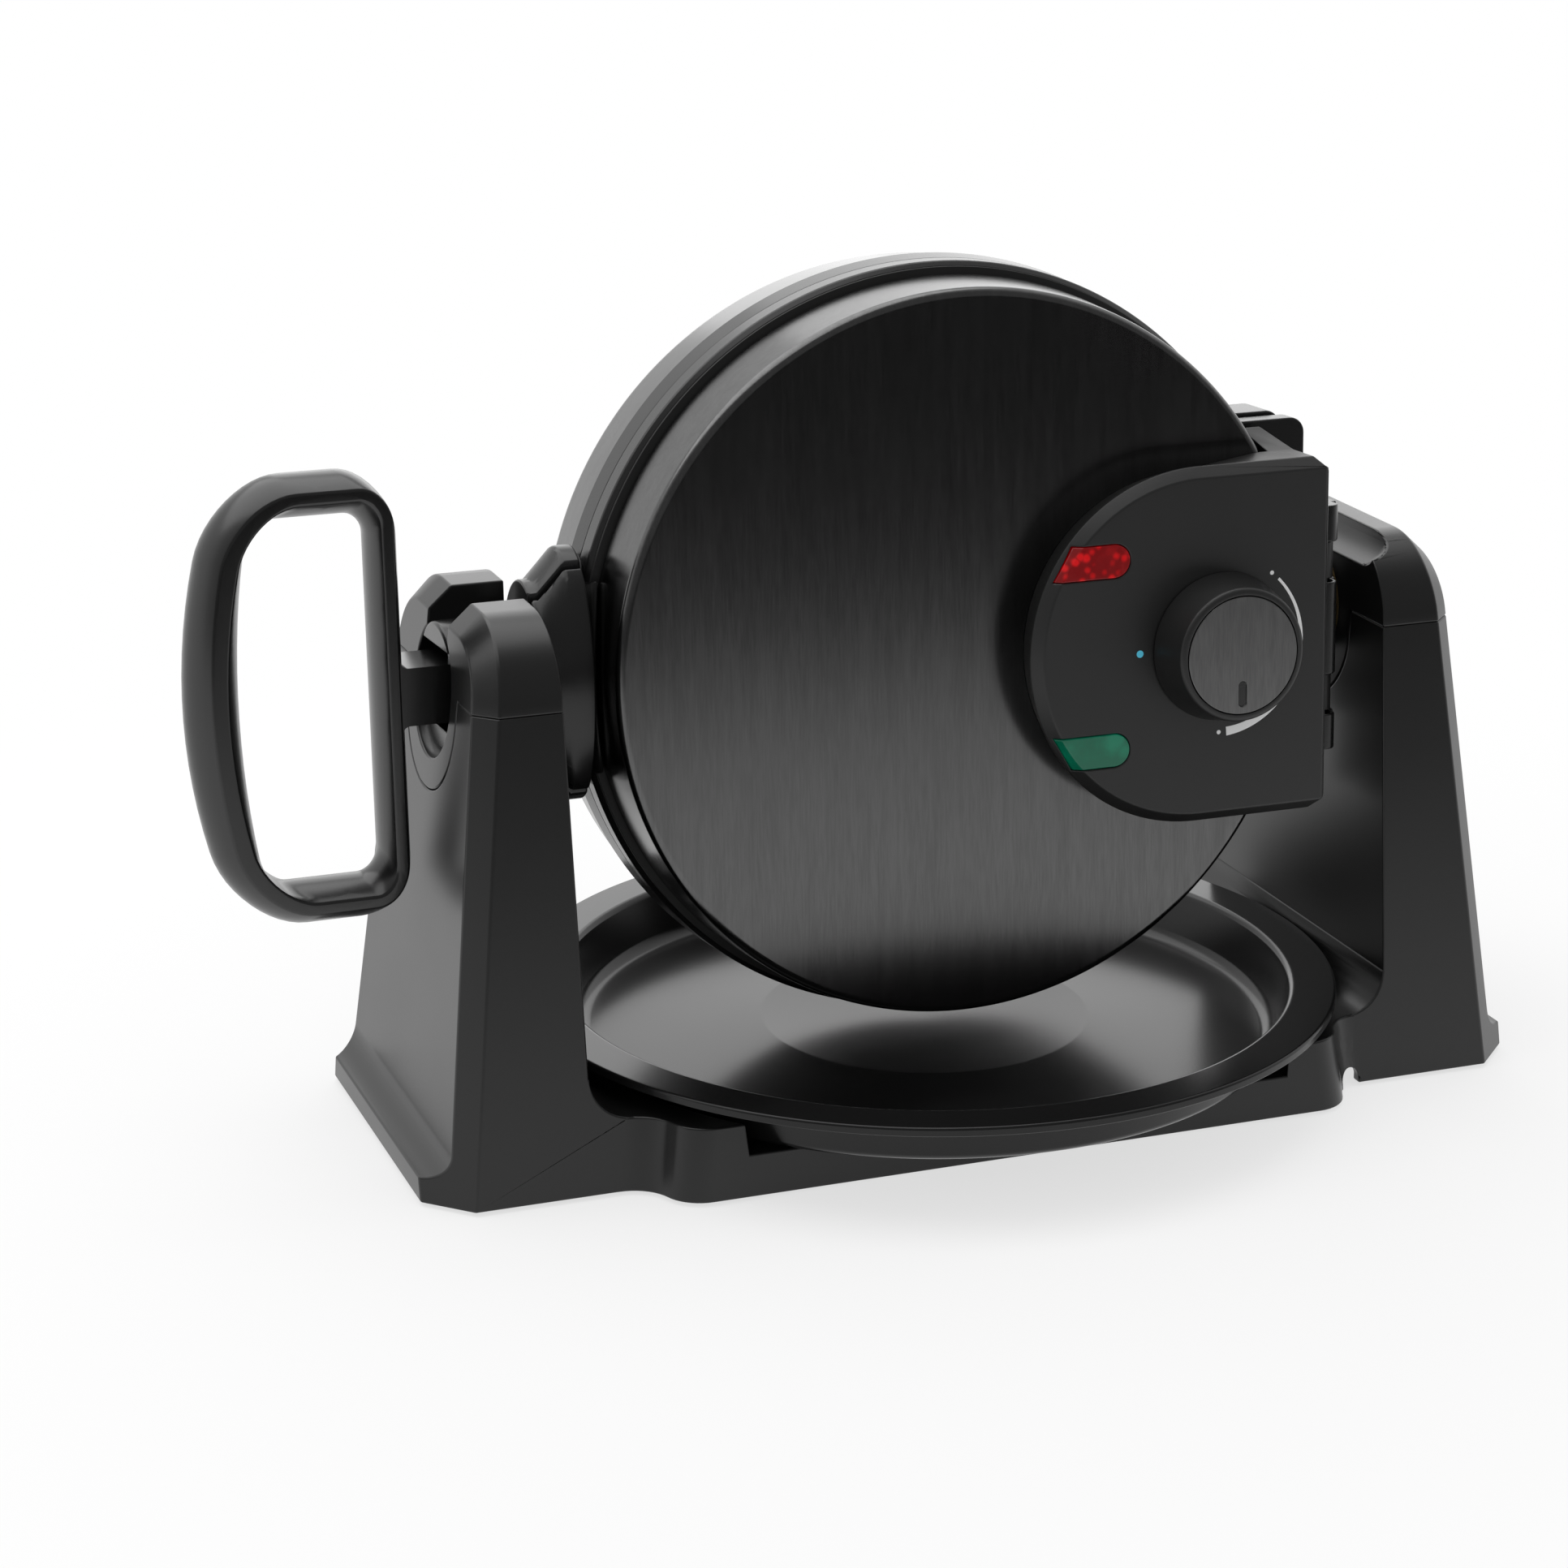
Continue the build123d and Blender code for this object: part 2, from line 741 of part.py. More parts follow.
def box_body():
    """The housing's outside: undercut wall, bevelled panel edge, and a flared block beside the rim."""
    brim_y = panel_y + box_bevel
    long_end = box_end + box_bevel
    base = Plane.XZ.offset(-face_y) * box_plan(box_half - box_undercut, box_half, long_end)
    brim = Plane.XZ.offset(-brim_y) * box_plan(box_half, box_half, long_end)
    body = loft([base, brim], ruled=True) + extrude(brim, box_bevel, taper=box_bevel_angle)
    skirt_y = face_y + box_skirt
    flare = box_half + box_flare
    side = polygon((face_y, -box_half), (face_y, box_half), (skirt_y, flare), (skirt_y, -flare))
    body = body + extrude(Plane.YZ.offset(box_centre) * side, box_end - box_centre)
    end = polygon((0, -flare), (box_end, -flare), (box_end, flare), (0, flare))
    end = chamfer(end.vertices().group_by(Axis.X)[-1], box_corner)
    body = body & slab_y(end, panel_y, skirt_y)
    profile = polygon((0, panel_y), (box_end, panel_y), (box_end, skirt_y), (0, skirt_y))
    corner = profile.vertices().group_by(Axis.X)[-1].sort_by(Axis.Y)[0]
    profile = Pos(0, 0, -flare) * fillet(corner, box_end_edge)
    return body & extrude(profile, 2 * flare)


def window_plan(side, grow):
    """A light window: round towards the knob, slanting along the housing's round edge at the other end."""
    half = window_half + grow
    near = window_inner - window_half
    shape = polygon(
        (window_outer - grow, -side * half),
        (window_outer + window_lean - grow, side * half),
        (near, side * half),
        (near, -side * half),
    )
    return Pos(0, side * window_centre) * (shape + Pos(near, 0) * Circle(half))


def make_control_housing():
    """Moulded shell on the lid's face that wraps over the rim at the hinge end, with two hinge lugs."""
    shell = box_body() - bar_y(lid_rim_radius + seam_gap, face_y, face_y + box_skirt)
    relief_half = bracket_half + bracket_clearance
    shell = shell - bar_z(hinge_relief, -relief_half, relief_half, hinge_x, hinge_y)
    inside = box_half - box_undercut - box_wall
    inside_end = hinge_x - hinge_relief - box_wall
    hollow = slab_y(box_plan(inside, inside, inside_end), panel_y + box_wall, face_y)
    shell = shell - (hollow & bar_y(lid_radius - lid_edge, panel_y, face_y))
    shell = shell - bar_y(spindle_radius + running_fit, panel_y, face_y, knob_x)
    depth = panel_y + box_bevel + window_thickness
    for side in (-1, 1):
        shell = shell - slab_y(window_plan(side, seam_gap), panel_y, depth)
    lug = bar_z(hinge_barrel, lug_inner, lug_outer, hinge_x, hinge_y)
    low = (inside_end, hinge_y - hinge_barrel, lug_inner)
    lug = lug + block(low, (hinge_x, face_y, lug_outer))
    shell = shell + lug + mirror(lug, Plane.XY)
    return shell - bar_z(pin_radius + running_fit, -bracket_half, bracket_half, hinge_x, hinge_y)


def make_window(side):
    """Coloured lens let into the panel, following its bevel."""
    prism = slab_y(window_plan(side, 0), panel_y, panel_y + box_bevel + window_thickness)
    return prism & box_body()


def make_lamp(side):
    """Neon lamp on the back of a window."""
    start = panel_y + box_bevel + window_thickness
    return bar_y(lamp_radius, start, start + lamp_length, window_inner - window_half, side * window_centre)


def make_thermostat():
    """Thermostat block on the back of the panel, bored for its spindle."""
    start = panel_y + box_wall
    half = thermostat_size / 2
    body = block((knob_x - half, start, -half), (knob_x + half, start + thermostat_depth, half))
    return body - bar_y(spindle_radius + running_fit, start, start + thermostat_depth, knob_x)


def make_knob():
    """Tapered knob with a recess for its cap and a blind hole for the spindle."""
    base = panel_y - knob_gap
    cone = turned([(0, base), (knob_base_radius, base), (knob_top_radius, knob_front_y), (0, knob_front_y)])
    cone = fillet(cone.edges().filter_by(GeomType.CIRCLE).sort_by(Axis.Y)[0], knob_edge)
    cone = cone - bar_y(knob_cap_radius + knob_cap_gap, knob_front_y, knob_front_y + knob_cap_depth)
    return Pos(knob_x, 0, 0) * (cone - bar_y(spindle_radius, base - spindle_grip, base))


def pointer_plan(grow):
    """The pointer's slot, pointing down from the middle of the knob."""
    length = pointer_far - pointer_near + 2 * grow
    middle = Pos(knob_x, -(pointer_near + pointer_far) / 2)
    return middle * SlotOverall(length, pointer_width + 2 * grow, rotation=90)


def make_knob_cap():
    """Metal disc on the knob's front, with a slot for the pointer."""
    disc = bar_y(knob_cap_radius, knob_front_y, knob_front_y + knob_cap_depth, knob_x)
    return disc - slab_y(pointer_plan(0), knob_front_y, knob_front_y + pointer_depth)


def make_pointer():
    """Dark insert in the cap's slot."""
    level = knob_front_y + pointer_depth
    return slab_y(pointer_plan(-seam_gap / 2), level - pointer_depth / 2, level)


def make_spindle():
    """Steel spindle from the thermostat to the knob."""
    end = panel_y + box_wall + thermostat_depth
    return bar_y(spindle_radius, panel_y - knob_gap - spindle_grip, end, knob_x)


def end_frame(half, end, low, high, hole):
    """Square-ended blocks beside the head's round rim, cleared for the rim and for the hinge bracket."""
    plan = polygon((0, -half), (end, -half), (end, half), (0, half))
    plan = fillet(plan.vertices().group_by(Axis.X)[-1], frame_corner)
    slot = bracket_half + bracket_clearance
    gap = polygon((0, -slot), (end, -slot), (end, slot), (0, slot))
    return slab_y(plan - gap, low, high) - bar_y(hole, low, high)


def make_lid_frame():
    """Hinge-end blocks of the lid, behind the control housing."""
    hole = lid_rim_radius + seam_gap
    return end_frame(lid_frame_half, lid_frame_end, lid_back_y - lid_frame_depth, lid_back_y, hole)


def make_lower_frame():
    """Hinge-end blocks of the lower half, on either side of the bracket."""
    hole = lower_step_radius + seam_gap
    front = lower_front_y + seal_depth
    return end_frame(lower_frame_half, lower_frame_end, front, band_back_y, hole)


def bracket_screw_places():
    """Heads of the bracket's screws, on its outer face."""
    y = (bezel_back_y + band_back_y) / 2
    return [Pos(bracket_right, y, sz * bracket_screw_height) * Rot(0, 90, 0) for sz in (-1, 1)]


def bracket_screw_holes():
    """Bars that drill for the bracket's screws."""
    hole = Pos(0, 0, -screw_shank_length) * Cylinder(screw_shank_radius, 2 * screw_shank_length)
    return [place * hole for place in bracket_screw_places()]


def hinge_track(half_width, half_length):
    """The slot in which the pin can float, or the knuckle round it."""
    slot = SlotCenterToCenter(hinge_float, 2 * half_width, rotation=90)
    return Pos(hinge_x, hinge_y - hinge_float / 2, -half_length) * extrude(slot, 2 * half_length)


def make_bracket():
    """Hinge plate beside the head: knuckles round the pin in front, the flip axle at its middle."""
    left = hinge_x - hinge_barrel
    half = bracket_half
    side = polygon((hinge_y, -half), (band_back_y, -half), (band_back_y, half), (hinge_y, half))
    side = fillet(side.vertices().group_by(Axis.X)[-1], bracket_corner)
    plate = extrude(Plane.YZ.offset(left) * side, bracket_right - left)
    plate = plate + hinge_track(hinge_barrel, half)
    boss_end = axle_inner - axle_boss_gap
    plate = plate + bar_x(axle_boss_radius, bracket_right, boss_end)
    plate = plate - bar_y(lid_rim_radius + bracket_clearance, face_y, lower_front_y)
    plate = plate - bar_y(lower_step_radius + seam_gap, lower_front_y, band_back_y)
    low = (left, hinge_y - hinge_relief, lug_inner - hinge_clearance)
    high = (bracket_right, hinge_y + hinge_barrel + hinge_clearance, lug_outer + hinge_clearance)
    lug_way = block(low, high)
    plate = plate - lug_way - mirror(lug_way, Plane.XY)
    plate = plate - hinge_track(pin_radius + running_fit, pin_half)
    return plate - bar_x(axle_radius, left, boss_end) - bracket_screw_holes()


def make_bracket_screws():
    """Screws that hold the bracket to the lower half."""
    head = Pos(0, 0, screw_head_height / 2) * Cylinder(screw_head_radius, screw_head_height)
    head = fillet(head.edges().group_by(Axis.Z)[-1], screw_head_edge)
    shank = Pos(0, 0, -screw_shank_length / 2) * Cylinder(screw_shank_radius, screw_shank_length)
    return Part() + [place * (head + shank) for place in bracket_screw_places()]


def make_hinge_pin():
    """Steel pin of the lid's hinge."""
    return bar_z(pin_radius, -pin_half, pin_half, hinge_x, hinge_y)


def make_axle():
    """Hollow flip axle pressed into the bracket; the wiring passes through its bore."""
    start = lower_step_radius + seam_gap
    end = axle_inner + bush_length + axle_end_gap
    return bar_x(axle_radius, start, end) - bar_x(axle_bore, start, end)


def hub_section(x, half_height, half_depth):
    """An oval section of the hub."""
    return Plane.YZ.offset(-x) * Ellipse(half_depth, half_height)


def hub_blank():
    """The hub at the handle end: an oval boss with a ridge, and a cone down to its nose."""
    root = hub_section(hub_root, hub_shelf_height, hub_shelf_depth)
    ridge = hub_section(hub_ridge_start, hub_ridge_height, hub_ridge_depth)
    shoulder = hub_section(hub_ridge_end, hub_ridge_height, hub_ridge_depth)
    nose = hub_section(hub_nose_start, hub_nose_height, hub_nose_depth)
    hub = extrude(root, hub_root - hub_ridge_start) + extrude(ridge, hub_ridge_start - hub_ridge_end)
    return hub + loft([shoulder, nose], ruled=True) + extrude(nose, hub_nose_start - hub_end)


def make_lid_hub():
    """The front part of the hub, which lifts with the lid."""
    half = hub_ridge_height
    front = block((-lid_hub_end, face_y, -half), (0, lid_back_y, half))
    return (hub_blank() & front) - bar_y(lid_rim_radius + seam_gap, face_y, lid_back_y)


def make_lower_hub():
    """The rear part of the hub, which carries the journal."""
    half = hub_ridge_height
    rear = block((-hub_end, lower_front_y, -half), (0, back_y, half))
    return (hub_blank() & rear) - bar_y(lower_step_radius + seam_gap, lower_front_y, back_y)


def handle_pin_bar(radius):
    """A bar across the journal's slot, through the handle's stem."""
    return bar_z(radius, -handle_pin_half, handle_pin_half, handle_pocket / 2 - journal_end)


def make_journal():
    """Turned bar in the left cap, slotted at its outer end for the handle's stem."""
    bar = bar_x(journal_radius, -journal_end, -journal_start)
    bar = chamfer(bar.edges().filter_by(GeomType.CIRCLE).sort_by(Axis.X)[0], journal_edge)
    low = (-journal_start, lower_front_y, -journal_radius)
    rear = block(low, (-hub_end, journal_radius, journal_radius))
    foot = bar_x(journal_radius, -journal_start, -hub_end) & rear
    depth = journal_end - handle_pocket
    low = (-journal_end, -journal_radius, -handle_pocket_half)
    pocket = block(low, (-depth, journal_radius, handle_pocket_half))
    return bar + foot - pocket - handle_pin_bar(handle_pin_radius + running_fit)


def handle_plan(near, rim, far, bow, near_corner, far_corner):
    """An outline of the loop: straight beside the stand, bowed outward at the grip."""
    right = near - handle_right
    left = -handle_left - far
    half = handle_half + rim
    sides = [
        Line((left + bow, -half), (right, -half)),
        Line((right, -half), (right, half)),
        Line((right, half), (left + bow, half)),
        ThreePointArc((left + bow, half), (left, 0), (left + bow, -half)),
    ]
    loop = make_face(sides)
    loop = fillet(loop.vertices().sort_by(Axis.X)[2:], near_corner)
    return fillet(loop.vertices().sort_by(Axis.X)[:2], far_corner)


def barrel(edge, middle):
    """A solid along Y that swells or narrows from its two edge outlines to its middle outline."""
    half = handle_depth / 2
    sections = [(half, edge), (0, middle), (-half, edge)]
    return loft([Plane.XZ.offset(offset) * outline for offset, outline in sections])


def handle_stem():
    """Flat stem from the loop into the journal, with small fillets at its root."""
    root = -handle_right - handle_band
    end = handle_pocket - journal_end
    near = -handle_right
    strip = handle_stem_half + 2 * handle_root_fillet
    plan = polygon(
        (root, -strip),
        (near, -strip),
        (near, -handle_stem_half),
        (end, -handle_stem_half),
        (end, handle_stem_half),
        (near, handle_stem_half),
        (near, strip),
        (root, strip),
    )
    corners = [v for v in plan.vertices() if abs(v.X - near) < seam_gap and abs(v.Y) < strip - seam_gap]
    return slab_y(fillet(corners, handle_root_fillet), -handle_depth / 2, handle_depth / 2)


def make_handle():
    """Loop handle with a barrel section, a dent behind its stem, and the stem that enters the journal."""
    edge = handle_plan(0, 0, 0, handle_bow, handle_near_corner, handle_far_corner)
    crest = handle_plan(
        handle_near_crown,
        handle_rim_crown,
        handle_grip_crown,
        handle_crest_bow,
        handle_crest_near_corner,
        handle_crest_far_corner,
    )
    hole = handle_plan(
        -handle_band,
        -handle_band,
        -handle_grip_band,
        handle_bow,
        handle_near_corner - handle_band,
        handle_far_corner - handle_band,
    )
    waist = handle_plan(
        -handle_band - handle_near_bulge,
        -handle_band - handle_bulge,
        -handle_grip_band - handle_bulge,
        handle_waist_bow,
        handle_waist_corner,
        handle_waist_corner,
    )
    loop = barrel(edge, crest) - barrel(hole, waist)
    inner = -handle_right - handle_band
    low = (inner - handle_near_bulge, -handle_depth / 2, -handle_stem_half)
    dent = block(low, (inner - handle_near_bulge + handle_dent, handle_depth / 2, handle_stem_half))
    return loop - dent + handle_stem() - handle_pin_bar(handle_pin_radius + running_fit)


def make_handle_pin():
    """Steel cross pin that holds the handle's stem in the journal."""
    return handle_pin_bar(handle_pin_radius)


stand_place = Pos(centre_shift, 0, foot_standoff)
head_place = Pos(centre_shift, 0, foot_standoff + axis_height) * Rot(-rest_tilt, 0, 0)

stand_parts = {
    "stand": make_stand(),
    "left_bearing_cap": make_left_cap(),
    "right_bearing_cap": make_right_cap(),
    "axle_bush": make_axle_bush(),
    "deck_cover": make_deck_cover(),
    "pillar_covers": make_pillar_covers(),
    "rubber_feet": make_feet(),
    "deck_screws": make_deck_screws(),
    "cap_screws": make_cap_screws(),
    "drip_tray": make_tray(),
}
head_parts = {
    "lower_cover": make_lower_cover(),
    "lower_band": make_lower_band(),
    "lower_bezel": make_lower_bezel(),
    "rim_seal": make_seal(),
    "lower_grid_plate": make_grid_plate(lower_front_y, lower_plate_recess, -1),
    "lower_heater": make_heater(lower_front_y, lower_plate_recess, -1),
    "lower_shield": make_shield(lower_front_y, lower_plate_recess, -1),
    "lower_frame": make_lower_frame(),
    "hinge_bracket": make_bracket(),
    "bracket_screws": make_bracket_screws(),
    "flip_axle": make_axle(),
    "lower_hub": make_lower_hub(),
    "journal": make_journal(),
    "handle": make_handle(),
    "handle_pin": make_handle_pin(),
    "hinge_pin": make_hinge_pin(),
    "lid_cover": make_lid_cover(),
    "lid_bezel": make_lid_bezel(),
    "lid_grid_plate": make_grid_plate(lid_back_y, lid_plate_recess, 1),
    "lid_heater": make_heater(lid_back_y, lid_plate_recess, 1),
    "lid_shield": make_shield(lid_back_y, lid_plate_recess, 1),
    "lid_hub": make_lid_hub(),
    "lid_frame": make_lid_frame(),
    "control_housing": make_control_housing(),
    "power_window": make_window(1),
    "ready_window": make_window(-1),
    "power_lamp": make_lamp(1),
    "ready_lamp": make_lamp(-1),
    "thermostat": make_thermostat(),
    "knob": make_knob(),
    "knob_cap": make_knob_cap(),
    "knob_pointer": make_pointer(),
    "thermostat_spindle": make_spindle(),
}

os.makedirs("parts", exist_ok=True)
for name, shape in stand_parts.items():
    export_step(stand_place * shape, f"parts/{name}.step")
for name, shape in head_parts.items():
    export_step(head_place * shape, f"parts/{name}.step")
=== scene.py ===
import json
import math

import bmesh
import bpy
from mathutils import Matrix, Vector


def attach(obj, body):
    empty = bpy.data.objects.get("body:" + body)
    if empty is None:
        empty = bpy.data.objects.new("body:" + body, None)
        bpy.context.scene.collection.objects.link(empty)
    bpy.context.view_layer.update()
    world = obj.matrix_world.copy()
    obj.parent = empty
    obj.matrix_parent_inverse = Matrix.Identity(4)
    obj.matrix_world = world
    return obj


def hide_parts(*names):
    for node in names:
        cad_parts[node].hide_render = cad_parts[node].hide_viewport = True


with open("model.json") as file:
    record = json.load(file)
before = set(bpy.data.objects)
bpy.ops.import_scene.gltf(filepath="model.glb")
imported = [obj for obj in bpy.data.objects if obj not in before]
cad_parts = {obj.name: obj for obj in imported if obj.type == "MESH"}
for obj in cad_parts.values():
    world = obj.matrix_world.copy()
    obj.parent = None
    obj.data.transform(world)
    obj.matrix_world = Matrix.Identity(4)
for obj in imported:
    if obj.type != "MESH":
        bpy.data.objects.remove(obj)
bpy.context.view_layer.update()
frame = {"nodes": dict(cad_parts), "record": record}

# Stand: one black moulded shell with the deck and both hollow pillars. The plastic is satin, with
# the fine even grain of its tool, and its outer corners are rounded by about half a millimetre.
MM = 0.001
weld = 1e-6
flat_angle = math.radians(0.5)
corner_angle = math.radians(28)
corner_steps = 3
stand_edge = 0.6


class Wire:
    """A socket in a finish. Sums and products of wires add their Math nodes."""

    def __init__(self, tree, socket):
        self.tree = tree
        self.socket = socket

    def node(self, kind, settings, sockets, output=0):
        """Any node: its settings first, then the values or links of its sockets."""
        made = self.tree.nodes.new(kind)
        for name, value in settings.items():
            setattr(made, name, value)
        for name, value in sockets.items():
            if isinstance(value, Wire):
                value.to(made.inputs[name])
            else:
                made.inputs[name].default_value = value
        return Wire(self.tree, made.outputs[output])

    def to(self, socket):
        self.tree.links.new(self.socket, socket)

    def math(self, operation, first, second):
        return self.node("ShaderNodeMath", {"operation": operation}, {0: first, 1: second})

    def __add__(self, other):
        return self.math("ADD", self, other)

    def __radd__(self, other):
        return self.math("ADD", other, self)

    def __sub__(self, other):
        return self.math("SUBTRACT", self, other)

    def __rsub__(self, other):
        return self.math("SUBTRACT", other, self)

    def __mul__(self, other):
        return self.math("MULTIPLY", self, other)

    def __rmul__(self, other):
        return self.math("MULTIPLY", other, self)

    def most(self, other):
        """The larger of this value and another."""
        return self.math("MAXIMUM", self, other)

    def part(self, axis):
        """The X, Y or Z of this place or direction, for axis 0, 1 or 2."""
        return self.node("ShaderNodeSeparateXYZ", {}, {"Vector": self}, axis)

    def noise(self, scale, detail):
        """Even noise over this place, from 0 to 1."""
        sockets = {"Vector": self, "Scale": scale, "Detail": detail}
        return self.node("ShaderNodeTexNoise", {}, sockets)

    def stretched(self, scale):
        """This place, scaled along each axis."""
        return self.node("ShaderNodeMapping", {}, {"Vector": self, "Scale": scale})

    def between(self, low, high, start, end):
        """This value, carried from low..high to start..end with soft ends."""
        sockets = {"Value": self, "From Min": low, "From Max": high, "To Min": start, "To Max": end}
        return self.node("ShaderNodeMapRange", {"interpolation_type": "SMOOTHSTEP"}, sockets)

    def tint(self, first, second):
        """A colour between two, by this value."""
        return self.node("ShaderNodeMix", {"data_type": "RGBA"}, {0: self, 6: first, 7: second}, 2)

    def bump(self, distance, strength):
        """A normal from this height."""
        sockets = {"Height": self, "Distance": distance, "Strength": strength}
        return self.node("ShaderNodeBump", {}, sockets)


def new_finish(name):
    """A new finish: the material, its shader, and the place of each point on the piece."""
    material = bpy.data.materials.new(name)
    material.use_nodes = True
    tree = material.node_tree
    place = Wire(tree, tree.nodes.new("ShaderNodeTexCoord").outputs["Object"])
    return material, tree.nodes["Principled BSDF"], place


def grey(level, warmth=0.0):
    """A near-neutral colour."""
    return (level * (1 + warmth), level, level * (1 - warmth), 1)


def moulded(name, level, roughness, grain, relief, index=1.5):
    """A moulding: grain from its tool, and gloss and colour that drift a little."""
    material, shader, place = new_finish(name)
    drift = 0.15
    cloud = place.noise(scale=28, detail=3)
    pits = place.noise(scale=grain, detail=2)
    cloud.tint(grey(level * (1 - drift)), grey(level * (1 + drift))).to(shader.inputs["Base Color"])
    gloss_drift = 0.05 * cloud + 0.03 * pits - 0.04
    (roughness + gloss_drift).to(shader.inputs["Roughness"])
    pits.bump(distance=relief, strength=0.4).to(shader.inputs["Normal"])
    shader.inputs["IOR"].default_value = index
    return material


home_of = {}
for body, members in frame["record"]["behaviour"]["bodies"].items():
    for member in members:
        home_of[member] = body


def placed(name, data):
    """A new object in the scene, from a mesh, a lamp or a camera."""
    made = bpy.data.objects.new(name, data)
    bpy.context.scene.collection.objects.link(made)
    return made


def even_shading(piece):
    """Shading led by the large faces, with the sharp edges kept."""
    flats = piece.modifiers.new("flats", "WEIGHTED_NORMAL")
    flats.keep_sharp = True


def stand_for(piece, node, material):
    """The piece takes a finish, stands for its CAD node and rides on that node's body."""
    piece.data.materials.clear()
    piece.data.materials.append(material)
    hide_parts(node)
    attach(piece, home_of[node])


def softened(node, edge, material):
    """A CAD piece with its outer corners rounded by edge, in mm, or left sharp at 0."""
    piece = placed(node + "_shape", frame["nodes"][node].data.copy())
    work = bmesh.new()
    work.from_mesh(piece.data)
    bmesh.ops.remove_doubles(work, verts=work.verts, dist=weld)
    bmesh.ops.dissolve_limit(work, angle_limit=flat_angle, verts=work.verts, edges=work.edges)
    for face in work.faces:
        face.smooth = True
    rounded = work.edges.layers.float.new("bevel_weight_edge")
    for line in work.edges:
        line[rounded] = line.is_manifold and line.calc_face_angle_signed() > corner_angle
    work.to_mesh(piece.data)
    work.free()
    if edge:
        corners = piece.modifiers.new("corners", "BEVEL")
        corners.width = edge * MM
        corners.segments = corner_steps
        corners.limit_method = "WEIGHT"
        corners.use_clamp_overlap = False
    else:
        piece.data.set_sharp_from_angle(angle=corner_angle)
    even_shading(piece)
    stand_for(piece, node, material)


stand_plastic = moulded("stand_plastic", level=0.007, roughness=0.3, grain=1800, relief=0.00003)
softened("stand", stand_edge, stand_plastic)

# Bearing caps: two separate mouldings let into the tops of the pillars. The left one is a fork that
# holds the journal; the right one has a scoop for a finger. Each is drawn down by a screw.
softened("left_bearing_cap", stand_edge, stand_plastic)
softened("right_bearing_cap", stand_edge, stand_plastic)


def plain_metal(name, colour, roughness):
    """Turned or drawn metal with fine tool marks."""
    material, shader, place = new_finish(name)
    dulled = 0.86
    marks = place.noise(scale=900, detail=4)
    cloud = place.noise(scale=60, detail=2)
    dark = [c * dulled for c in colour] + [1]
    cloud.tint(dark, [*colour, 1]).to(shader.inputs["Base Color"])
    (roughness + 0.12 * marks).to(shader.inputs["Roughness"])
    marks.bump(distance=0.00001, strength=0.3).to(shader.inputs["Normal"])
    shader.inputs["Metallic"].default_value = 1
    return material


def painted(node, material):
    """A CAD piece shown as it is, with a finish of its own."""
    mesh = frame["nodes"][node].data
    mesh.materials.clear()
    mesh.materials.append(material)


steel = plain_metal("steel", colour=(0.55, 0.55, 0.56), roughness=0.28)
bronze = plain_metal("sintered_bronze", colour=(0.5, 0.36, 0.17), roughness=0.42)
painted("axle_bush", bronze)
painted("cap_screws", steel)

# Underside: one plastic sheet closes the deck and one closes each pillar. Six screws hold them, and
# four rubber pads stand on the worktop.
sheet_edge = 0.3
pad_edge = 0.25
softened("deck_cover", sheet_edge, stand_plastic)
softened("pillar_covers", sheet_edge, stand_plastic)
painted("deck_screws", steel)
foot_rubber = moulded("foot_rubber", level=0.02, roughness=0.75, grain=700, relief=0.00006)
softened("rubber_feet", pad_edge, foot_rubber)

# Drip tray: one turned pan of satin black plastic with a wide flat rim, a turned-down lip and a
# shallow round dish in its floor. It lies loose in a round pocket of the deck.
middle_x = 24.5 * MM
foot_lift = 1.2 * MM
stand_place = Matrix.Translation((middle_x, 0, foot_lift))
tray_axis = (0, 0, 1)
turn_steps = 192
turn_corner_steps = 6
turn_crease = math.radians(32)


def rounded_corner(work, vert, radius, steps):
    """One corner of a flat outline, rounded by a radius in mm."""
    bmesh.ops.bevel(
        work,
        geom=[vert],
        offset=radius * MM,
        offset_type="OFFSET",
        segments=steps,
        profile=0.5,
        affect="VERTICES",
        material=-1,
    )


def shaped(name, work, place, crease):
    """A smooth piece from a bmesh, in its place, with the edges over the crease angle kept sharp."""
    bmesh.ops.recalc_face_normals(work, faces=work.faces)
    bmesh.ops.transform(work, matrix=place, verts=work.verts)
    for face in work.faces:
        face.smooth = True
    mesh = bpy.data.meshes.new(name)
    work.to_mesh(mesh)
    work.free()
    mesh.set_sharp_from_angle(angle=crease)
    piece = placed(name, mesh)
    even_shading(piece)
    return piece


def turned(name, corners, axis, place):
    """A ring or pan turned about an axis, from corners of (radius, height, rounding) in mm."""
    work = bmesh.new()
    chain = []
    roundings = []
    for radius, height, rounding in corners:
        along = [height * MM * part for part in axis]
        vert = work.verts.new((radius * MM + along[0], along[1], along[2]))
        chain.append(vert)
        if rounding:
            roundings.append((vert, rounding))
    for first, second in zip(chain, chain[1:]):
        work.edges.new((first, second))
    if corners[0][0] > 0:
        work.edges.new((chain[-1], chain[0]))
    for vert, rounding in roundings:
        rounded_corner(work, vert, rounding, turn_corner_steps)
    bmesh.ops.spin(
        work,
        geom=work.verts[:] + work.edges[:],
        cent=(0, 0, 0),
        axis=axis,
        dvec=(0, 0, 0),
        angle=2 * math.pi,
        steps=turn_steps,
        use_merge=True,
        use_duplicate=False,
    )
    bmesh.ops.remove_doubles(work, verts=work.verts, dist=weld)
    return shaped(name, work, place, turn_crease)


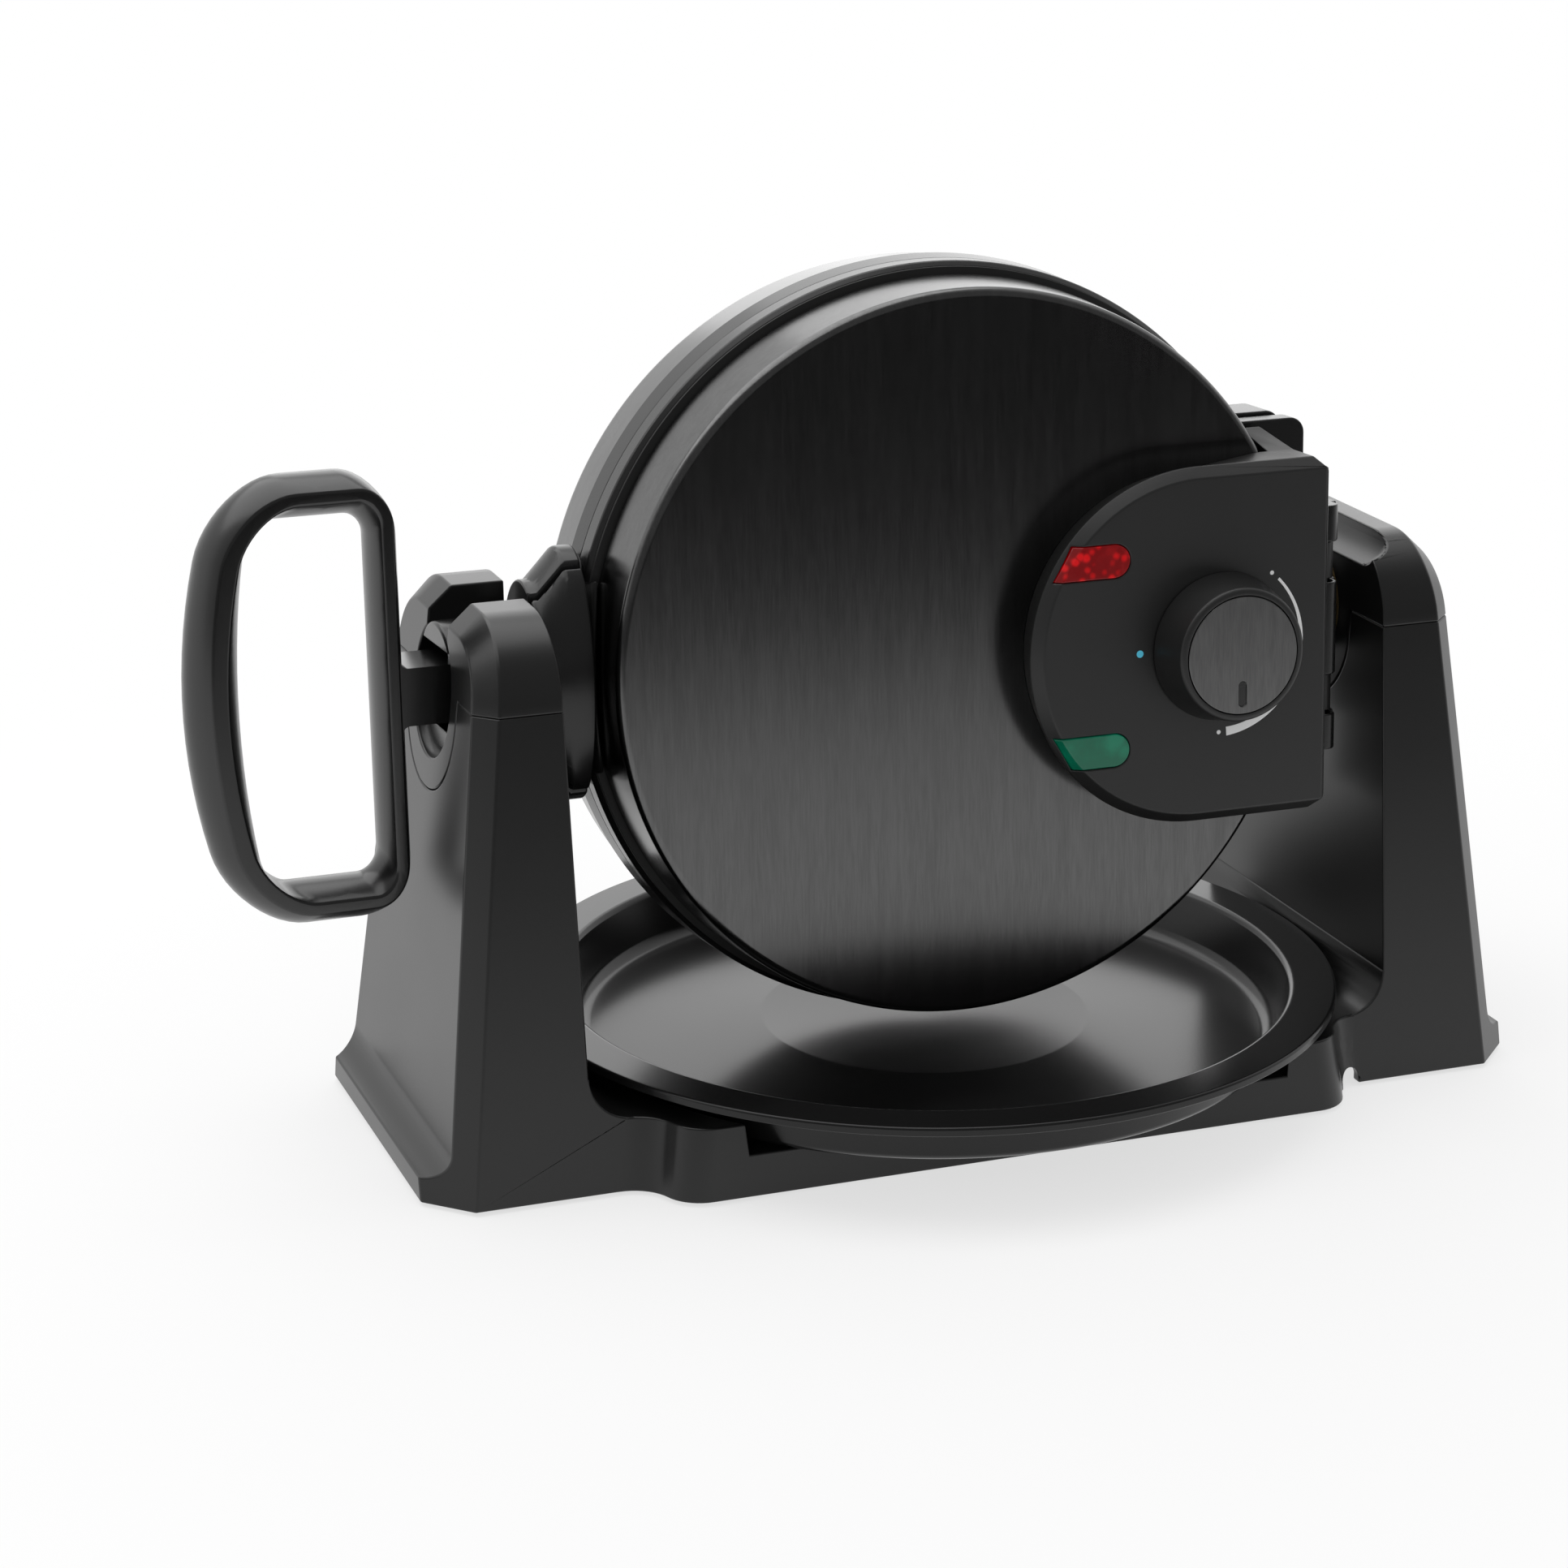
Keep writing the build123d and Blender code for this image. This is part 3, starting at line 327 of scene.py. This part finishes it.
tray_section = [
    (0, 13.6, 0),
    (48.6, 15.6, 0.3),
    (102.6, 13.3, 3.5),
    (107.5, 29.3, 1.6),
    (121, 29.3, 0.9),
    (121, 26.7, 0.4),
    (119.4, 26.7, 0.4),
    (119.4, 27.7, 0.3),
    (108.3, 27.7, 1),
    (103.4, 12, 2.5),
    (96.6, 12, 0.5),
    (48.6, 13.6, 0.5),
    (0, 12.6, 0),
]
tray_plastic = moulded("tray_plastic", level=0.006, roughness=0.2, grain=1500, relief=0.00002, index=1.4)
stand_for(turned("tray_pan", tray_section, tray_axis, stand_place), "drip_tray", tray_plastic)

# Lower half of the head: a spun steel back, a gloss band, a satin front ring and a soft dark edge
# that the lid closes on. The rings are stacked and clamped by the back.
axis_height = 132.7 * MM
head_tilt = math.radians(-3.2)
head_place = Matrix.Translation((middle_x, 0, axis_height)) @ Matrix.Rotation(head_tilt, 4, "X")
head_axis = (0, 1, 0)


def brushed(name, level, roughness, across, along):
    """Dark metal brushed one way: fine lines upright on the head."""
    material, shader, place = new_finish(name)
    dark, bright = grey(level * 0.86), grey(level * 1.1)
    lines = place.stretched((across, across, along)).noise(scale=1, detail=5)
    broad = place.stretched((across / 6, across / 6, along)).noise(scale=1, detail=2)
    mixed = 0.6 * lines + 0.4 * broad
    mixed.between(0.3, 0.7, 0, 1).tint(dark, bright).to(shader.inputs["Base Color"])
    gloss_drift = 0.06 * mixed - 0.03
    (roughness + gloss_drift).to(shader.inputs["Roughness"])
    mixed.bump(distance=0.000006, strength=0.35).to(shader.inputs["Normal"])
    shader.inputs["Metallic"].default_value = 1
    return material


def head_ring(name, section, node, material):
    """A turned piece of the head, about the line through the middle of its face."""
    stand_for(turned(name, section, head_axis, head_place), node, material)


black_steel = brushed("black_steel", level=0.12, roughness=0.21, across=2400, along=18)
head_plastic = moulded("head_plastic", level=0.007, roughness=0.26, grain=1800, relief=0.00002)
gloss_plastic = moulded("gloss_plastic", level=0.004, roughness=0.24, grain=900, relief=0.000002, index=1.6)
seal_rubber = moulded("seal_rubber", level=0.012, roughness=0.6, grain=900, relief=0.00003)
cover_section = [
    (0, 31.1, 0),
    (107.2, 31.1, 5),
    (108.3, 8.1, 0.3),
    (107.1, 8.1, 0.2),
    (106, 26.1, 0.5),
    (102.2, 29.9, 0.5),
    (0, 29.9, 0),
]
head_ring("lower_cup", cover_section, "lower_cover", black_steel)
band_section = [(104.8, 0.6, 0), (108.8, 0.6, 0.3), (109.5, 8.1, 0.4), (104.8, 8.1, 0)]
head_ring("lower_gloss_band", band_section, "lower_band", gloss_plastic)
ring_section = [
    (92.2, -7.4, 0.5),
    (107.3, -7.4, 0.3),
    (108.8, -6, 0.5),
    (108.8, 0.6, 0.3),
    (96.2, 0.6, 0),
    (96.2, 8.4, 0),
    (92.2, 8.4, 0.3),
]
head_ring("lower_front_ring", ring_section, "lower_bezel", head_plastic)
seal_section = [(103.3, -8.1, 0.2), (107.3, -8.1, 0.2), (107.3, -7.4, 0), (103.3, -7.4, 0)]
head_ring("lower_soft_edge", seal_section, "rim_seal", seal_rubber)

# Grid plates: cast aluminium with rows of pyramids and a cross, coated dark against sticking. A
# heating tube lies on the back of each, with a bright sheet behind it.
coating, shader, place = new_finish("grid_coating")
speckle = place.noise(scale=2600, detail=2)
cloud = place.noise(scale=45, detail=4)
cloud.tint(grey(0.03), grey(0.05, warmth=0.03)).to(shader.inputs["Base Color"])
(0.34 + 0.12 * speckle).to(shader.inputs["Roughness"])
speckle.bump(distance=0.00004, strength=0.4).to(shader.inputs["Normal"])
shader.inputs["Metallic"].default_value = 0.4
softened("lower_grid_plate", 0, coating)
softened("lid_grid_plate", 0, coating)
heater_steel = plain_metal("heater_steel", colour=(0.3, 0.28, 0.26), roughness=0.5)
painted("lower_heater", heater_steel)
painted("lid_heater", heater_steel)
painted("lower_shield", steel)
painted("lid_shield", steel)

# Hinge end: square plastic blocks beside the rims, and a plate that carries the floating hinge pin
# in front and the hollow flip axle in its middle. Two screws hold the plate.
block_edge = 0.6
plate_edge = 0.5
softened("lower_frame", block_edge, head_plastic)
softened("lid_frame", block_edge, head_plastic)
softened("hinge_bracket", plate_edge, head_plastic)
painted("bracket_screws", steel)
painted("flip_axle", steel)
painted("hinge_pin", steel)

# Hub and journal: an oval boss split along the parting line, one part on each half, and the turned
# bar in the left fork that the handle's stem enters. A pin holds the stem.
hub_edge = 0.7
journal_edge = 0.4
softened("lower_hub", hub_edge, head_plastic)
softened("lid_hub", hub_edge, head_plastic)
softened("journal", journal_edge, head_plastic)
painted("handle_pin", steel)

# Handle: a smooth black loop, moulded in one with a flat stem that enters the journal. Its bar is
# crowned outside and inside, with a narrow flat band round the front and the back.
handle_half_depth = 10.5
handle_levels = 12
handle_corner_steps = 12
handle_crease = math.radians(40)
band_edge = 0.6
band_steps = 3
bowed_run = 20
bow_cuts = 12
edge_outline = {"right": -159.1, "left": -211, "half": 58.4, "bow": 9.2, "near": 11, "far": 20}
crest_outline = {"right": -157, "left": -217.2, "half": 62.6, "bow": 12.1, "near": 20, "far": 22}
hole_outline = {"right": -162.3, "left": -206.7, "half": 55.2, "bow": 9.2, "near": 7.8, "far": 16.8}
waist_outline = {"right": -165.3, "left": -202.2, "half": 50.7, "bow": 4.4, "near": 7, "far": 7}


def closed_chain(work, points):
    """Vertices at these points, joined by edges in a closed chain."""
    chain = [work.verts.new(point) for point in points]
    for first, second in zip(chain, chain[1:] + chain[:1]):
        work.edges.new((first, second))
    return chain


def handle_loop(work, first, second, level):
    """The edges of one outline of the loop, between two outlines, at a level from -1 to 1."""
    share = 1 - level * level
    size = {name: first[name] + (second[name] - first[name]) * share for name in first}
    before = set(work.edges)
    depth = level * handle_half_depth * MM
    places = [("right", -1), ("right", 1), ("left", 1), ("left", -1)]
    points = [(size[side] * MM, depth, up * size["half"] * MM) for side, up in places]
    chain = closed_chain(work, points)
    for corner, radius in zip(chain, (size["near"], size["near"], size["far"], size["far"])):
        rounded_corner(work, corner, radius, handle_corner_steps)
    new_edges = [edge for edge in work.edges if edge not in before]
    runs = [edge for edge in new_edges if edge.calc_length() > bowed_run * MM]
    bmesh.ops.subdivide_edges(work, edges=runs, cuts=bow_cuts)
    loop = [edge for edge in work.edges if edge not in before]
    for vert in {vert for edge in loop for vert in edge.verts}:
        outward = (size["right"] * MM - vert.co.x) / (size["right"] - size["left"]) / MM
        vert.co.x += size["bow"] * MM * outward * (vert.co.z / size["half"] / MM) ** 2
    return loop


handle_work = bmesh.new()
levels = [2 * step / handle_levels - 1 for step in range(handle_levels + 1)]
outside = [handle_loop(handle_work, edge_outline, crest_outline, level) for level in levels]
inside = [handle_loop(handle_work, hole_outline, waist_outline, level) for level in levels]
band_edges = outside[0] + outside[-1] + inside[0] + inside[-1]
ring = outside + inside[::-1]
for first, second in zip(ring, ring[1:] + ring[:1]):
    bmesh.ops.bridge_loops(handle_work, edges=first + second)
bmesh.ops.bevel(
    handle_work,
    geom=band_edges,
    offset=band_edge * MM,
    offset_type="OFFSET",
    segments=band_steps,
    profile=0.5,
    affect="EDGES",
    material=-1,
)
stem_half = 8.1
stem_root = -162
stem_shoulder = -159.1
stem_end = -135.4
stem_fillet = 2
stem_inset = 0.2
stem_half_depth = handle_half_depth - stem_inset
shoulder_half = stem_half + 2 * stem_fillet
stem_outline = [
    (stem_root, -shoulder_half),
    (stem_shoulder, -shoulder_half),
    (stem_shoulder, -stem_half),
    (stem_end, -stem_half),
    (stem_end, stem_half),
    (stem_shoulder, stem_half),
    (stem_shoulder, shoulder_half),
    (stem_root, shoulder_half),
]
stem = bmesh.new()
stem_chain = closed_chain(stem, [(x * MM, -stem_half_depth * MM, z * MM) for x, z in stem_outline])
for corner in (stem_chain[2], stem_chain[5]):
    rounded_corner(stem, corner, stem_fillet, handle_corner_steps)
bmesh.ops.contextual_create(stem, geom=stem.edges)


def thickened(work, depth):
    """A flat shape made solid along Y, by a depth in metres."""
    made = bmesh.ops.extrude_face_region(work, geom=work.faces[:])["geom"]
    moved = [part for part in made if isinstance(part, bmesh.types.BMVert)]
    bmesh.ops.translate(work, vec=(0, depth, 0), verts=moved)


thickened(stem, 2 * stem_half_depth * MM)
stem_mesh = bpy.data.meshes.new("handle_stem")
stem.to_mesh(stem_mesh)
stem.free()
handle_work.from_mesh(stem_mesh)
bpy.data.meshes.remove(stem_mesh)
stand_for(shaped("handle_bar", handle_work, head_place, handle_crease), "handle", gloss_plastic)

# Lid: a spun steel cup, brushed upright across its face, with a plastic ring inside its edge that
# carries the lid's grid plate.
lid_section = [
    (0, -31.1, 0),
    (104, -31.1, 2.4),
    (105.4, -9.5, 0.3),
    (104.2, -9.5, 0.2),
    (102.8, -28.5, 0.3),
    (101.4, -29.9, 0.3),
    (0, -29.9, 0),
]
head_ring("lid_cup", lid_section, "lid_cover", black_steel)
inner_section = [(92.2, -22, 0), (103.19, -22, 0), (104, -9.5, 0.2), (92.2, -9.5, 0.4)]
head_ring("lid_inner_ring", inner_section, "lid_bezel", head_plastic)

# Control housing: a satin moulding on the lid's face that wraps over its rim at the hinge end. The
# panel has a crisp bevel, and the thermostat hangs on its back.
housing_edge = 0.45
panel_plastic = moulded("panel_plastic", level=0.012, roughness=0.42, grain=2200, relief=0.00004)
thermostat_body = moulded("thermostat_body", level=0.5, roughness=0.6, grain=900, relief=0.00003)
softened("control_housing", housing_edge, panel_plastic)
painted("thermostat", thermostat_body)

# Windows: a red and a green lens of clear plastic let into the panel, following its bevel. A small
# neon lamp stands behind each; that lamp gives no light, and its glow is painted into the lens.
window_edge = 0.3


def lens(name, deep, bright, painted_glow, cells):
    """Clear coloured plastic with a painted glow, and its moulded back pattern shown as painted glints."""
    material, shader, place = new_finish(name)
    glint_cells = place.node("ShaderNodeTexVoronoi", {}, {"Vector": place, "Scale": cells})
    # painted glints: bright cells in the colour and the glow, standing in for light caught by the pattern
    painted_glints = glint_cells.between(0.1, 0.6, 1, 0)
    cloud = place.noise(scale=260, detail=3)
    tone_and_glints = 0.55 * cloud + 0.45 * painted_glints
    colour = tone_and_glints.between(0.25, 0.75, 0, 1).tint(deep, bright)
    colour.to(shader.inputs["Base Color"])
    # painted glow: the lens shines by itself, standing in for the lamp behind it
    colour.to(shader.inputs["Emission Color"])
    shader.inputs["Emission Strength"].default_value = painted_glow
    (0.16 + 0.1 * cloud).to(shader.inputs["Roughness"])
    cloud.bump(distance=0.00004, strength=0.3).to(shader.inputs["Normal"])
    return material


red_lens = lens("red_lens", (0.14, 0, 0.001, 1), (0.5, 0.002, 0.004, 1), painted_glow=0.35, cells=330)
green_lens = lens("green_lens", (0, 0.085, 0.045, 1), (0.001, 0.14, 0.075, 1), painted_glow=0.25, cells=120)
softened("power_window", window_edge, red_lens)
softened("ready_window", window_edge, green_lens)
lamp_glass, shader, place = new_finish("lamp_glass")
haze = place.noise(scale=500, detail=2)
haze.tint((0.8, 0.55, 0.4, 1), (0.95, 0.8, 0.65, 1)).to(shader.inputs["Base Color"])
(0.08 + 0.1 * haze).to(shader.inputs["Roughness"])
painted("power_lamp", lamp_glass)
painted("ready_lamp", lamp_glass)

# Thermostat knob: a tapered satin body, a brushed metal disc on its front with a dark pointer let
# into it, and the steel spindle that it turns.
knob_x = 70.5 * MM
knob_place = head_place @ Matrix.Translation((knob_x, 0, 0))
knob_front = -60.3
knob_back = -47.1
disc_depth = 1.6
disc_edge = 0.2
pointer_edge = 0.1
knob_section = [
    (0, knob_front + disc_depth, 0),
    (17.1, knob_front + disc_depth, 0),
    (17.1, knob_front, 0.25),
    (19, knob_front, 1.2),
    (21.5, knob_back, 0.5),
    (3, knob_back, 0),
    (3, -53.1, 0),
    (0, -53.1, 0),
]
stand_for(turned("knob_body", knob_section, head_axis, knob_place), "knob", panel_plastic)
knob_disc = brushed("knob_disc", level=0.17, roughness=0.3, across=3200, along=60)
softened("knob_cap", disc_edge, knob_disc)
softened("knob_pointer", pointer_edge, gloss_plastic)
painted("thermostat_spindle", steel)

# Dial marks: flat prints on the panel, a white dot at each end of the travel, a pale blue dot beside
# the knob, and a white sweep that widens along the travel.
panel_y = -46.6 * MM
ink_height = 0.06 * MM
dot_segments = 32


def print_ink(name, colour):
    """Opaque printing ink, a little uneven."""
    material, shader, place = new_finish(name)
    thinned = 0.88
    cover = place.noise(scale=3000, detail=2)
    thin = [c * thinned for c in colour] + [1]
    cover.tint(thin, [*colour, 1]).to(shader.inputs["Base Color"])
    (0.4 + 0.1 * cover).to(shader.inputs["Roughness"])
    return material


def printed(name, work, material):
    """A thin print on the panel, from a flat shape."""
    thickened(work, -ink_height)
    bmesh.ops.recalc_face_normals(work, faces=work.faces)
    bmesh.ops.transform(work, matrix=knob_place, verts=work.verts)
    mesh = bpy.data.meshes.new(name)
    work.to_mesh(mesh)
    work.free()
    mesh.materials.append(material)
    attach(placed(name, mesh), "lid")


def dot(name, across, up, radius, material):
    """A round print, with its place from the knob's middle in mm."""
    work = bmesh.new()
    bmesh.ops.create_circle(work, cap_ends=True, segments=dot_segments, radius=radius * MM)
    facing = Matrix.Rotation(math.pi / 2, 4, "X")
    spot = Matrix.Translation((across * MM, panel_y, up * MM))
    bmesh.ops.transform(work, matrix=spot @ facing, verts=work.verts)
    printed(name, work, material)


white_ink = print_ink("white_ink", (0.85, 0.85, 0.85))
blue_ink = print_ink("blue_ink", (0.1, 0.62, 0.85))
dot("dial_start_dot", 15.7, 19.7, 0.62, white_ink)
dot("dial_end_dot", -0.6, -25.2, 0.62, white_ink)
dot("dial_blue_dot", -25.4, 0, 1.05, blue_ink)
sweep_radius = 25.2
sweep_half = 0.5
sweep_start = math.radians(45)
sweep_turn = math.radians(131)
sweep_steps = 48
first_width = 0.8
added_width = 1.8
widening = 1.5
sweep = bmesh.new()
edge_points = []
for offset in (-sweep_half, sweep_half):
    radius = (sweep_radius + offset) * MM
    point = (radius * math.cos(sweep_start), panel_y, radius * math.sin(sweep_start))
    edge_points.append(sweep.verts.new(point))
sweep_edge = sweep.edges.new(edge_points)
bmesh.ops.spin(
    sweep,
    geom=edge_points + [sweep_edge],
    cent=(0, 0, 0),
    axis=head_axis,
    dvec=(0, 0, 0),
    angle=sweep_turn,
    steps=sweep_steps,
    use_merge=False,
    use_duplicate=False,
)
for vert in sweep.verts:
    angle = (sweep_start - math.atan2(vert.co.z, vert.co.x)) % (2 * math.pi)
    width = first_width + added_width * (angle / sweep_turn) ** widening
    length = math.hypot(vert.co.x, vert.co.z) / MM
    grown = sweep_radius + (length - sweep_radius) * width
    vert.co.x *= grown / length
    vert.co.z *= grown / length
printed("dial_sweep", sweep, white_ink)

# Studio: a pale table with its front edge out of view, and two soft lamps, overhead and behind. The
# camera sees white all round; mirrors see it behind the object, and a dim room in front of it.
table_half = 9
table_front = -0.72
floor_work = bmesh.new()
bmesh.ops.create_grid(floor_work, x_segments=1, y_segments=1, size=table_half)
bmesh.ops.translate(floor_work, vec=(0, table_half + table_front, 0), verts=floor_work.verts)
floor_mesh = bpy.data.meshes.new("floor")
floor_work.to_mesh(floor_mesh)
floor_work.free()
placed("floor", floor_mesh)


def ray_kinds(tree):
    """1 for rays from the camera, and 1 for rays off a mirror or through glass."""
    path = tree.nodes.new("ShaderNodeLightPath").outputs
    from_camera = Wire(tree, path["Is Camera Ray"])
    glossy = Wire(tree, path["Is Glossy Ray"])
    through = Wire(tree, path["Is Transmission Ray"])
    return from_camera, glossy.most(through)


white = (1, 1, 1, 1)
floor_paint, shader, place = new_finish("floor_paint")
shader.inputs["Base Color"].default_value = grey(0.88)
shader.inputs["Roughness"].default_value = 0.9
shader.inputs["Specular IOR Level"].default_value = 0.1
floor_mesh.materials.append(floor_paint)
spread = place.node("ShaderNodeVectorMath", {"operation": "LENGTH"}, {0: place}, 1)
far = spread.between(0.25, 0.5, 0.68, 1)
behind = place.part(1).between(-0.45, -0.1, 0, 1)
backdrop = place.node("ShaderNodeEmission", {}, {"Color": white, "Strength": 1.0})
surface = Wire(place.tree, shader.outputs[0])
looked_at, mirrored = ray_kinds(place.tree)
shown = far * looked_at.most(mirrored * behind)
backed = place.node("ShaderNodeMixShader", {}, {0: shown, 1: surface, 2: backdrop})
backed.to(place.tree.nodes["Material Output"].inputs["Surface"])

world = bpy.data.worlds.new("room")
bpy.context.scene.world = world
world.use_nodes = True
tree = world.node_tree
direction = Wire(tree, tree.nodes.new("ShaderNodeTexCoord").outputs["Generated"])
depth = direction.part(1)
height = direction.part(2)
even = height.between(-0.06, 0.06, 0.1, 0.7)
graded = height.between(-0.06, 0.06, 0.01, 0.22) + depth.between(-0.5, 0.3, 0, 0.7)
behind = depth.between(-0.1, 0.4, 0, 1)
looked_at, mirrored = ray_kinds(tree)
shown = looked_at.most(mirrored * behind)
light = mirrored * graded + (1 - mirrored) * even
strength = shown + (1 - shown) * light
background = tree.nodes["Background"]
strength.to(background.inputs["Strength"])
background.inputs["Color"].default_value = white


def soft_lamp(name, place, aim, size, power):
    """A square soft lamp."""
    data = bpy.data.lights.new(name, "AREA")
    data.shape = "SQUARE"
    data.size = size
    data.energy = power
    lamp = placed(name, data)
    lamp.location = place
    away = lamp.location - Vector(aim)
    lamp.rotation_euler = away.to_track_quat("Z", "Y").to_euler()


soft_lamp("overhead", (-0.35, 0.35, 1.5), aim=(0, 0, 0.1), size=1.9, power=15)
soft_lamp("behind", (0.6, 1.5, 0.75), aim=(0, 0, 0.15), size=1.2, power=4)

camera_data = bpy.data.cameras.new("camera")
camera_data.lens = 87.498
camera_data.sensor_width = 36
camera = placed("camera", camera_data)
camera.location = (-0.3812, -0.9793, 0.4296)
camera.rotation_euler = (math.radians(72.12), 0, math.radians(-20.248))
bpy.context.scene.camera = camera
bpy.context.scene.view_settings.view_transform = "Standard"
